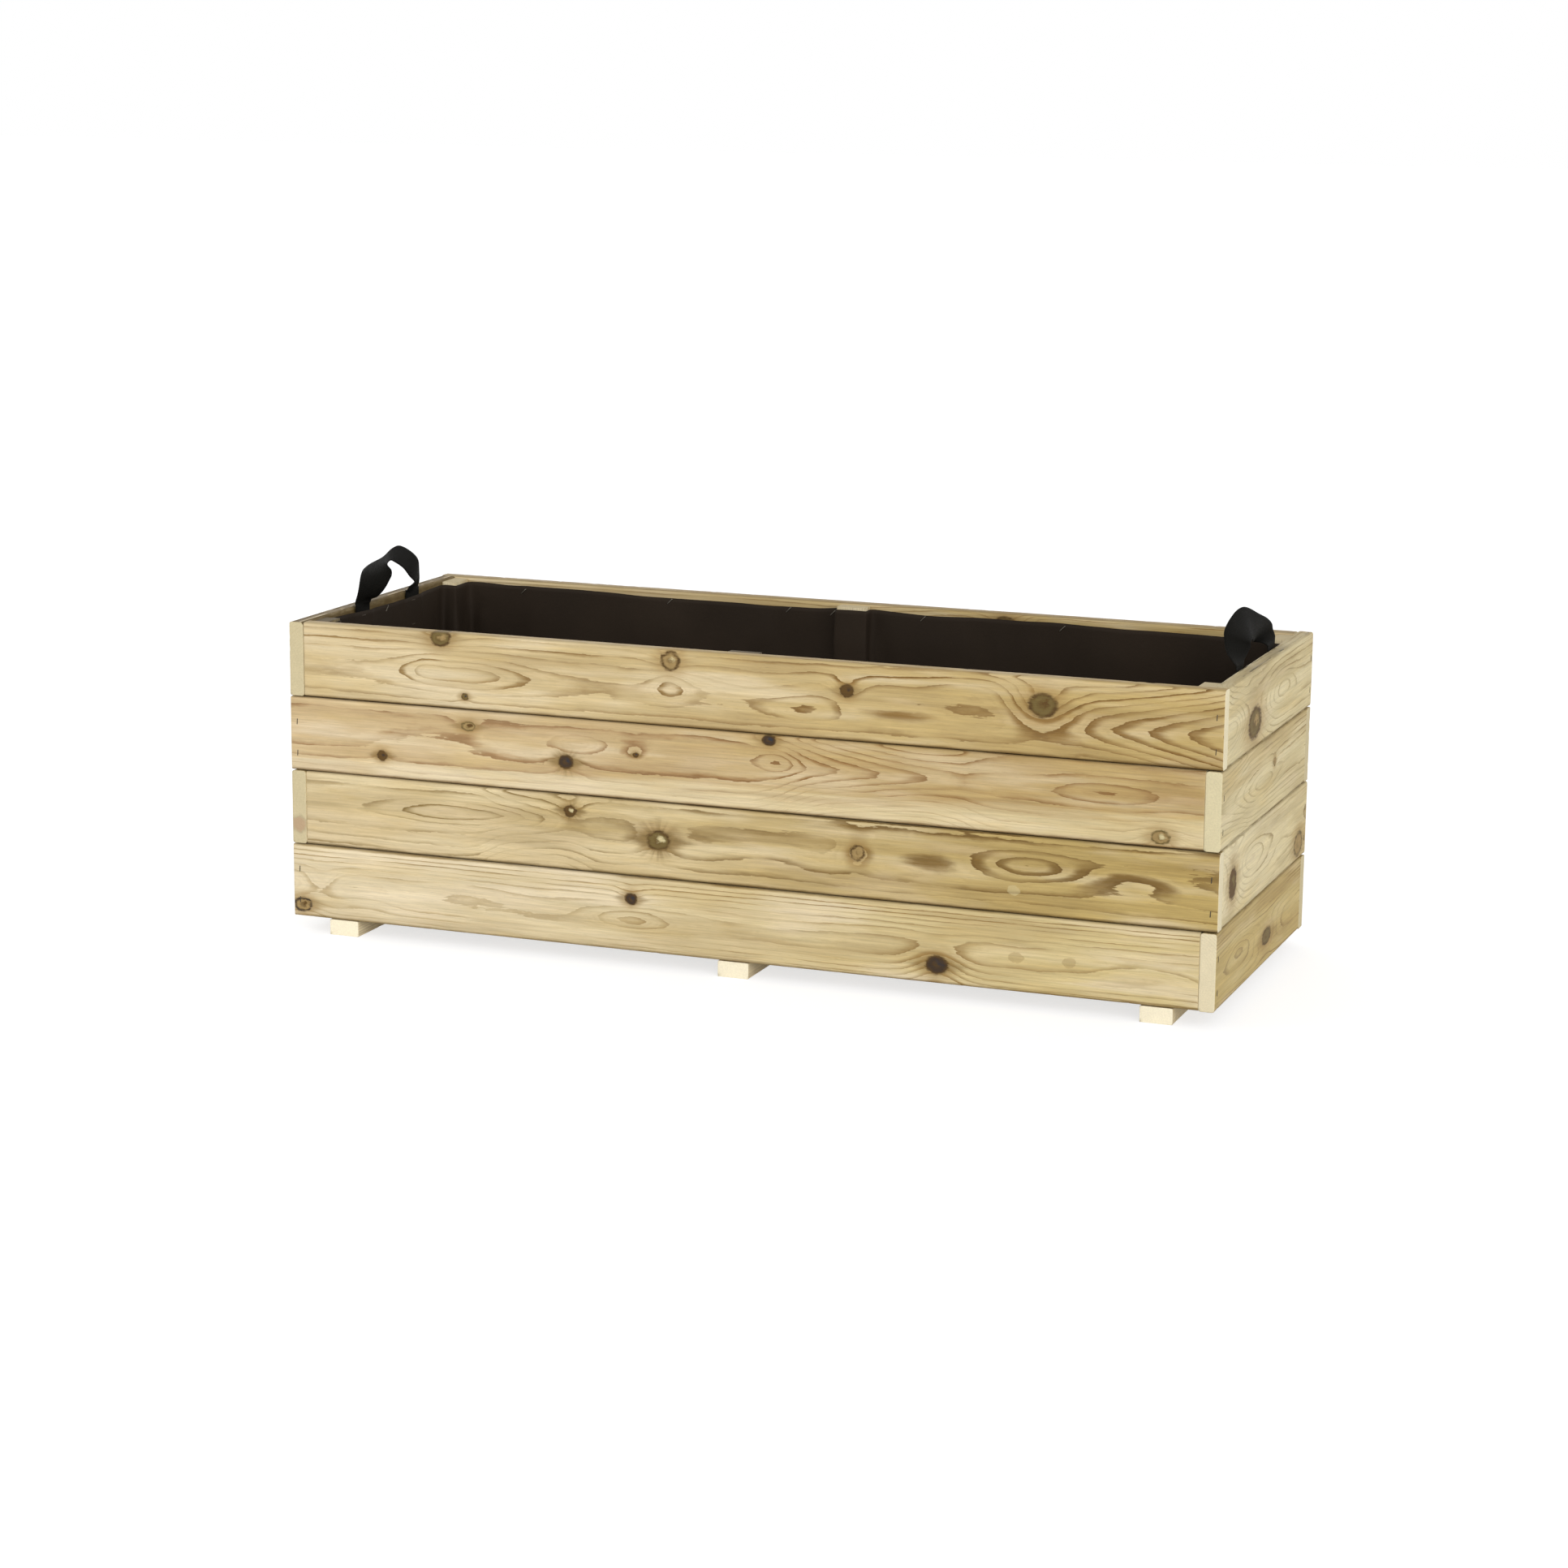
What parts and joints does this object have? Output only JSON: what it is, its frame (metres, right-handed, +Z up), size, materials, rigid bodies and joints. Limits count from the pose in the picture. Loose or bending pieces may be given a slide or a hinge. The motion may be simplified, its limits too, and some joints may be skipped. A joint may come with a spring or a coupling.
{
  "type": "wooden planter box",
  "caption": "Long rectangular planter of stacked lapped boards on low runners, with a dark liner inside and a webbing carrying handle standing at each end.",
  "frame": {"origin": "on the ground under the centre of the box, in the plane of the runners' undersides", "axes": "+X along the length towards the right-hand end, +Y from the front wall to the back wall, +Z up"},
  "size_m": [1.2, 0.45, 0.4651],
  "materials": {
    "board_pale": "planed pressure-treated softwood, pale yellow-green, matt",
    "board_pink": "planed pressure-treated softwood, warmer and pinker, matt",
    "board_tan": "planed pressure-treated softwood, tan, matt",
    "board_cream": "planed pressure-treated softwood, cream, matt",
    "batten": "sawn softwood batten, pale, matt",
    "liner_fabric": "dark brown-black nonwoven fabric, matt",
    "webbing": "woven black webbing, matt",
    "staple_wire": "galvanised wire, satin"
  },
  "bodies": {
    "box": {"front_board_1": "board_pale", "back_board_1": "board_pale", "left_board_1": "board_pale", "right_board_1": "board_pale", "front_board_2": "board_pink", "back_board_2": "board_pink", "left_board_2": "board_pink", "right_board_2": "board_pink", "front_board_3": "board_tan", "back_board_3": "board_tan", "left_board_3": "board_tan", "right_board_3": "board_tan", "front_board_4": "board_cream", "back_board_4": "board_cream", "left_board_4": "board_cream", "right_board_4": "board_cream", "corner_post_front_left": "batten", "corner_post_back_left": "batten", "corner_post_front_right": "batten", "corner_post_back_right": "batten", "middle_post_front": "batten", "middle_post_back": "batten", "runner_left": "batten", "runner_middle": "batten", "runner_right": "batten", "floor_board_1": "board_pale", "floor_board_2": "board_pink", "floor_board_3": "board_tan", "floor_board_4": "board_cream", "liner": "liner_fabric", "left_handle_tail_front": "webbing", "left_handle_tail_back": "webbing", "right_handle_tail_front": "webbing", "right_handle_tail_back": "webbing", "liner_staple_back_1": "staple_wire", "liner_staple_back_2": "staple_wire", "liner_staple_back_3": "staple_wire", "liner_staple_back_4": "staple_wire", "liner_staple_back_5": "staple_wire", "liner_staple_back_6": "staple_wire", "liner_staple_front_1": "staple_wire", "liner_staple_front_2": "staple_wire", "liner_staple_front_3": "staple_wire", "liner_staple_front_4": "staple_wire", "liner_staple_front_5": "staple_wire", "liner_staple_front_6": "staple_wire", "liner_staple_left_1": "staple_wire", "liner_staple_right_1": "staple_wire", "strap_staple_left_front_1": "staple_wire", "strap_staple_left_front_2": "staple_wire", "strap_staple_left_back_1": "staple_wire", "strap_staple_left_back_2": "staple_wire", "strap_staple_right_front_1": "staple_wire", "strap_staple_right_front_2": "staple_wire", "strap_staple_right_back_1": "staple_wire", "strap_staple_right_back_2": "staple_wire"},
    "left_loop": {"left_handle_loop": "webbing"},
    "right_loop": {"right_handle_loop": "webbing"}
  },
  "joints": [
    {"name": "left_handle", "type": "hinge", "parent": "box", "child": "left_loop", "pos_m": [-0.5775, 0, 0.4012], "axis": [0, 1, 0], "range_deg": [-80, 90], "stiffness_Nm_per_rad": 0.06},
    {"name": "right_handle", "type": "hinge", "parent": "box", "child": "right_loop", "pos_m": [0.5775, 0, 0.4012], "axis": [0, -1, 0], "range_deg": [-75, 90], "stiffness_Nm_per_rad": 0.06}
  ]
}
